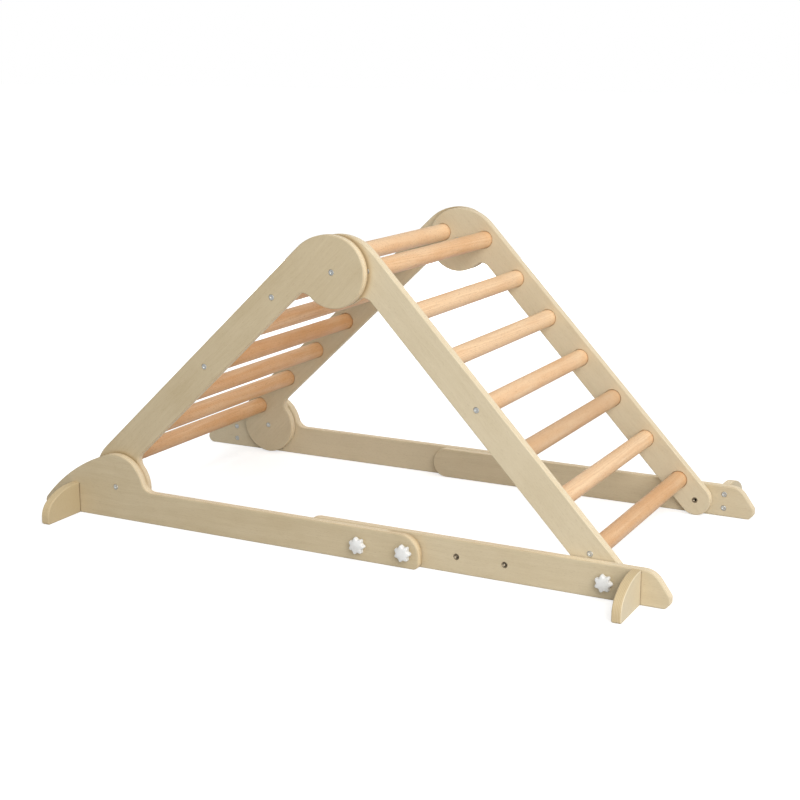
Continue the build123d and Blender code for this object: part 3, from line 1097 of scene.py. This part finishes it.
class RearLadder(Ladder):
    """The rear ladder, with the fixed halves of all four pivots."""

    word = "rear"
    ends = ("top_pivot_bolts", "rear_pivot_bolts")
    seed = 3.1
    rungs_before = 0
    bolted = (1, 4, 6)
    stile_tones = {Side.RIGHT: 0.68, Side.LEFT: 0.3}
    rung_tones = ((0.6, 0.06), (0.56, 0.06), (0.6, 0.04), (0.85, 0.1), (0.44, 0.0), (0.5, 0.0))

    def seats(self, side: Side) -> tuple[Seat, ...]:
        """Where a stile lies against its neighbours, round the top pivot and the rear pivot, with painted
        shade in the gaps.
        """
        return (*super().seats(side), *Seat.at_rear_pivot(side))

    def dress(self) -> None:
        """Dresses the ladder, makes its pivots' bolts and sleeve nuts, and plates their washers."""
        super().dress()
        bolt = SocketScrew(BOLT_SHANK, PIVOT_BOLT)
        for word, axis in (("top", self.top), ("rear", self.foot)):
            bolts = f"{word}_pivot_bolts"
            spots = both_sides(axis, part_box(bolts)[1].y)
            self.shop.make(bolts, self.body, self.shop.screws, bolt.surface(), spots)
            nuts = f"{word}_pivot_nuts"
            head = self.nearest(nuts)
            sleeve = (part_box(nuts)[1].y - head) / MM - SocketScrew.head_height
            nut = SocketScrew(NUT_SHANK, sleeve, NUT_BORE)
            spots = both_sides(axis, head, -1.0)
            self.shop.make(nuts, self.body, self.shop.screws, nut.surface(), spots)
            self.shop.coat(f"{word}_pivot_washers", self.shop.zinc)

    def nearest(self, node: str) -> float:
        """Measures how near a node comes to the middle plane.

        Args:
            node: The node.

        Returns:
            The distance, in metres.
        """
        mesh = self.shop.nodes[node].data
        flat = np.empty(len(mesh.vertices) * 3)
        mesh.vertices.foreach_get("co", flat)
        return float(np.abs(flat.reshape(-1, 3)[:, 1]).min())


class FrontLadder(Ladder):
    """The front ladder, with the top rung beside the pivot and threaded inserts in its feet."""

    word = "front"
    ends = ("front_rung_1", "front_rung_7")
    seed = 7.4
    rungs_before = 7
    top_rung = 15
    bolted = (1, 4, 7)
    stile_tones = {Side.RIGHT: 0.16, Side.LEFT: 0.1}
    rung_tones = ((0.36, 0.0), (0.02, 0.0), (0.0, 0.0), (0.2, 0.0), (0.3, 0.46), (0.12, 0.0), (0.6, 0.24))

    def dress(self) -> None:
        """Dresses the ladder and makes its inserts."""
        super().dress()
        self.shop.coat_rung("top_rung", self.top_rung, 0.0, 0.0)
        inserts = "front_foot_inserts"
        spots = both_sides(middle_of(inserts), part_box(inserts)[1].y - FOOT_INSERT * MM)
        sleeve = Thread(FOOT_INSERT).sleeve(INSERT_RADIUS)
        self.shop.make(inserts, self.body, self.shop.inserts, sleeve, spots)


@dataclass
class BaseSide:
    """One side of the base: its two rails, their feet, inserts, screws and knobs.

    Attributes:
        shop: The workshop.
        side: Which side it is.
        rail_tones: How dark its rear rail and its front rail are.
        foot_tones: How dark its rear foot and its front foot are.
        foot_cut: The colours of the pale plies and the cross plies on its feet's edges.
        seeds: The numbers of its rear rail and its front rail.
    """

    shop: Workshop
    side: Side
    rail_tones: tuple[float, float]
    foot_tones: tuple[float, float]
    foot_cut: tuple[Colour, Colour]
    seeds: tuple[float, float] = (11.2, 15.7)

    def dress(self) -> None:
        """Dresses the rails and feet, and makes the fasteners and the knobs."""
        word = self.side.word
        level = Vector((1.0, 0.0, 0.0))
        ends = zip(("rear", "front"), self.seeds, self.rail_tones, self.foot_tones)
        for end, seed, tone, foot_tone in ends:
            joint = self.dress_foot(f"{end}_foot_{word}", foot_tone)
            seats = self.rear_seats() if end == "rear" else ()
            self.shop.coat_board(f"{end}_rail_{word}", level, seed + self.side.value, tone, seats, joint)
            self.make_screws(end)
        self.make_inserts()
        self.make_knobs()

    def rear_seats(self) -> tuple[Seat, ...]:
        """The rear rail's seats for painted shade, round its pivot and at the end that laps the front rail.
        """
        stud = f"splice_stud_2_{self.side.word}"
        lap = Seat.at(stud, ("front_rail", "rear_rail"), self.side, LAP_SEAT, LAP_DEPTH)
        return (*Seat.at_rear_pivot(self.side), lap)

    def dress_foot(self, node: str, tone: float) -> FootJoint:
        """Gives a foot its plywood, with the grain upright and the layers along X.

        Args:
            node: The foot's node.
            tone: How dark the foot is.

        Returns:
            Where it stands on its rail, for the painted shade beside it.
        """
        low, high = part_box(node)
        middle = (low.x + high.x) / 2
        turn = Vector((0.0, QUARTER, 0.0))
        shift = Vector((0.0, 0.0, middle))
        seed = 20.0 + low.x * 7.0
        finish = PlywoodFinish(f"plywood_{node}", turn, shift, seed, tone, cut=self.foot_cut)
        self.shop.coat(node, finish.material())
        return FootJoint(middle, (high.x - low.x) / 2, high.z, -self.side.value)

    def spots(self, node: str, axes: list[tuple[float, float]], outward: float = 1.0) -> list[Spot]:
        """Places copies of a piece on a node's inner face.

        Args:
            node: The node.
            axes: The X and Z of each copy's axis.
            outward: 1 to look away from the middle plane, -1 to look towards it.

        Returns:
            The spots.
        """
        low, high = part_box(node)
        face = low.y if self.side is Side.LEFT else high.y
        return [(Vector((x, face, z)), self.side.value * outward) for x, z in axes]

    def make_screws(self, end: str) -> None:
        """Makes the two screws of a foot, which enter from the rail's inner face.

        Args:
            end: The foot's word in node names.
        """
        node = f"{end}_foot_screws_{self.side.word}"
        low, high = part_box(node)
        x = (low.x + high.x) / 2
        edge = SocketScrew.head_radius * MM
        spots = self.spots(node, [(x, low.z + edge), (x, high.z - edge)], -1.0)
        screw = SocketScrew(BOLT_SHANK, FOOT_SCREW).surface()
        self.shop.make(node, f"{end}_base_{self.side.word}", self.shop.screws, screw, spots)

    def make_inserts(self) -> None:
        """Makes the row of four threaded sleeves in the front rail."""
        node = f"splice_inserts_{self.side.word}"
        low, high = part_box(node)
        z = (low.z + high.z) / 2
        row = np.linspace(low.x + INSERT_RADIUS * MM, high.x - INSERT_RADIUS * MM, 4).tolist()
        spots = self.spots(node, [(x, z) for x in row])
        sleeve = Thread(SPLICE_INSERT).sleeve(INSERT_RADIUS)
        self.shop.make(node, f"front_base_{self.side.word}", self.shop.inserts, sleeve, spots)

    def make_knobs(self) -> None:
        """Makes the star knobs and their threaded studs."""
        for name in ("splice_knob_1", "splice_knob_2", "foot_knob"):
            knob = f"{name}_{self.side.word}"
            stud = knob.replace("knob", "stud")
            low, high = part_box(stud)
            axis = [((low.x + high.x) / 2, (low.z + high.z) / 2)]
            thread = Thread((high.y - low.y) / MM).stud()
            self.shop.make(knob, knob, self.shop.knobs, StarKnob().surface(), self.spots(knob, axis))
            self.shop.make(stud, knob, self.shop.studs, thread, self.spots(stud, axis))


@dataclass(frozen=True)
class Lamp:
    """A soft light that looks at the climber, and that the camera doesn't see.

    Attributes:
        name: The light's name.
        kind: SUN for an even light over the whole floor, AREA for a square panel.
        place: Where it hangs.
        power: Its strength, or a panel's power in watts.
        glints: Whether glossy surfaces mirror it.
    """

    name: str
    kind: str
    place: Place
    power: float
    glints: bool = True


@dataclass
class Studio:
    """The pale floor, the soft lights and the camera."""

    floor_reach: float = 30.0
    floor_drop: float = 0.4 * MM
    floor_glow: float = 0.66
    focal_pixels: float = 1484.43
    azimuth: float = 27.273
    elevation: float = 13.245
    camera_place: Place = (1.34692, -2.60405, 0.92496)
    sky: float = 0.34
    sun_spread: float = 40.0
    panel_size: float = 2.4
    aim: Place = (0.0, 0.0, 0.3)
    lamps: tuple[Lamp, ...] = (
        Lamp("sun", "SUN", (1.2, 0.0, 2.1), 1.25),
        Lamp("side", "AREA", (2.6, -3.3, 2.0), 118.0),
        Lamp("back", "AREA", (-1.8, 3.2, 0.9), 72.0, glints=False),
    )

    def build(self) -> None:
        """Builds the floor, the lights and the camera."""
        self.lay_floor()
        self.light_sky()
        for lamp in self.lamps:
            self.hang(lamp)
        self.set_camera()

    def lay_floor(self) -> None:
        """Lays the floor: a flat grid just under the feet."""
        span = np.linspace(-self.floor_reach, self.floor_reach, 9)
        x, y = np.meshgrid(span, span, indexing="ij")
        points = np.stack([x, y, np.full_like(x, -self.floor_drop)], axis=-1).reshape(-1, 3)
        number = np.arange(len(points)).reshape(x.shape)
        corners = [number[:-1, :-1], number[1:, :-1], number[1:, 1:], number[:-1, 1:]]
        faces = np.stack(corners, axis=-1).reshape(-1, 4)
        mesh = bpy.data.meshes.new("floor")
        mesh.from_pydata(points.tolist(), [], faces.tolist())
        grey = (0.6, 0.6, 0.6, 1.0)
        white = (1.0, 1.0, 1.0, 1.0)
        sheet = MaterialSheet("pale_floor", {"Base Color": grey, "Roughness": 0.9, "Emission Color": white})
        seen = sheet.add("ShaderNodeLightPath").outputs["Is Camera Ray"]
        sheet.wire(sheet.shader.inputs["Emission Strength"], sheet.scaled(seen, self.floor_glow))
        mesh.materials.append(sheet.material)
        floor = stand("floor", mesh)

    def light_sky(self) -> None:
        """Lights the scene evenly from all round, with a white background."""
        world = bpy.data.worlds.new("studio")
        world.use_nodes = True
        bpy.context.scene.world = world
        sheet = NodeSheet(world.node_tree)
        seen = sheet.add("ShaderNodeLightPath").outputs["Is Camera Ray"]
        background = world.node_tree.nodes["Background"].inputs
        sheet.wire(background["Color"], (1.0, 1.0, 1.0, 1.0))
        sheet.wire(background["Strength"], sheet.math("MAXIMUM", seen, self.sky))

    def hang(self, lamp: Lamp) -> None:
        """Hangs a light.

        Args:
            lamp: What it is and where it hangs.
        """
        source = bpy.data.lights.new(lamp.name, lamp.kind)
        source.energy = lamp.power
        if lamp.kind == "SUN":
            source.angle = math.radians(self.sun_spread)
        else:
            source.size = self.panel_size
        light = stand(lamp.name, source)
        light.visible_camera = False
        light.visible_glossy = lamp.glints
        light.location = lamp.place
        light.rotation_mode = "QUATERNION"
        light.rotation_quaternion = (Vector(self.aim) - Vector(lamp.place)).to_track_quat("-Z", "Y")

    def set_camera(self) -> None:
        """Sets the camera where the photograph was taken from."""
        lens = bpy.data.cameras.new("camera")
        lens.sensor_width = SENSOR_WIDTH
        lens.lens = SENSOR_WIDTH * self.focal_pixels / PHOTO_PIXELS
        turn = math.radians(self.azimuth)
        rise = math.radians(self.elevation)
        right = Vector((math.cos(turn), math.sin(turn), 0.0))
        level = math.cos(rise)
        back = Vector((math.sin(turn) * level, -math.cos(turn) * level, math.sin(rise)))
        axes = Matrix((right, back.cross(right), back)).transposed()
        camera = stand("camera", lens)
        camera.matrix_world = Matrix.Translation(self.camera_place) @ axes.to_4x4()
        bpy.context.scene.camera = camera
        bpy.context.scene.view_settings.view_transform = "Standard"


def main() -> None:
    """Loads the frame, builds the studio and dresses each sub-assembly in turn."""
    logging.basicConfig(level=logging.INFO, format="%(name)s %(message)s")
    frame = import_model()
    SharedEffects.build()
    shop = Workshop(frame["nodes"])
    Studio().build()
    RearLadder(shop).dress()
    FrontLadder(shop).dress()
    BaseSide(shop, Side.RIGHT, (0.62, 0.42), (1.15, -0.1), TAN_CUT).dress()
    BaseSide(shop, Side.LEFT, (0.02, 0.3), (0.3, 0.3), CREAM_CUT).dress()


if __name__ == "__main__":
    main()
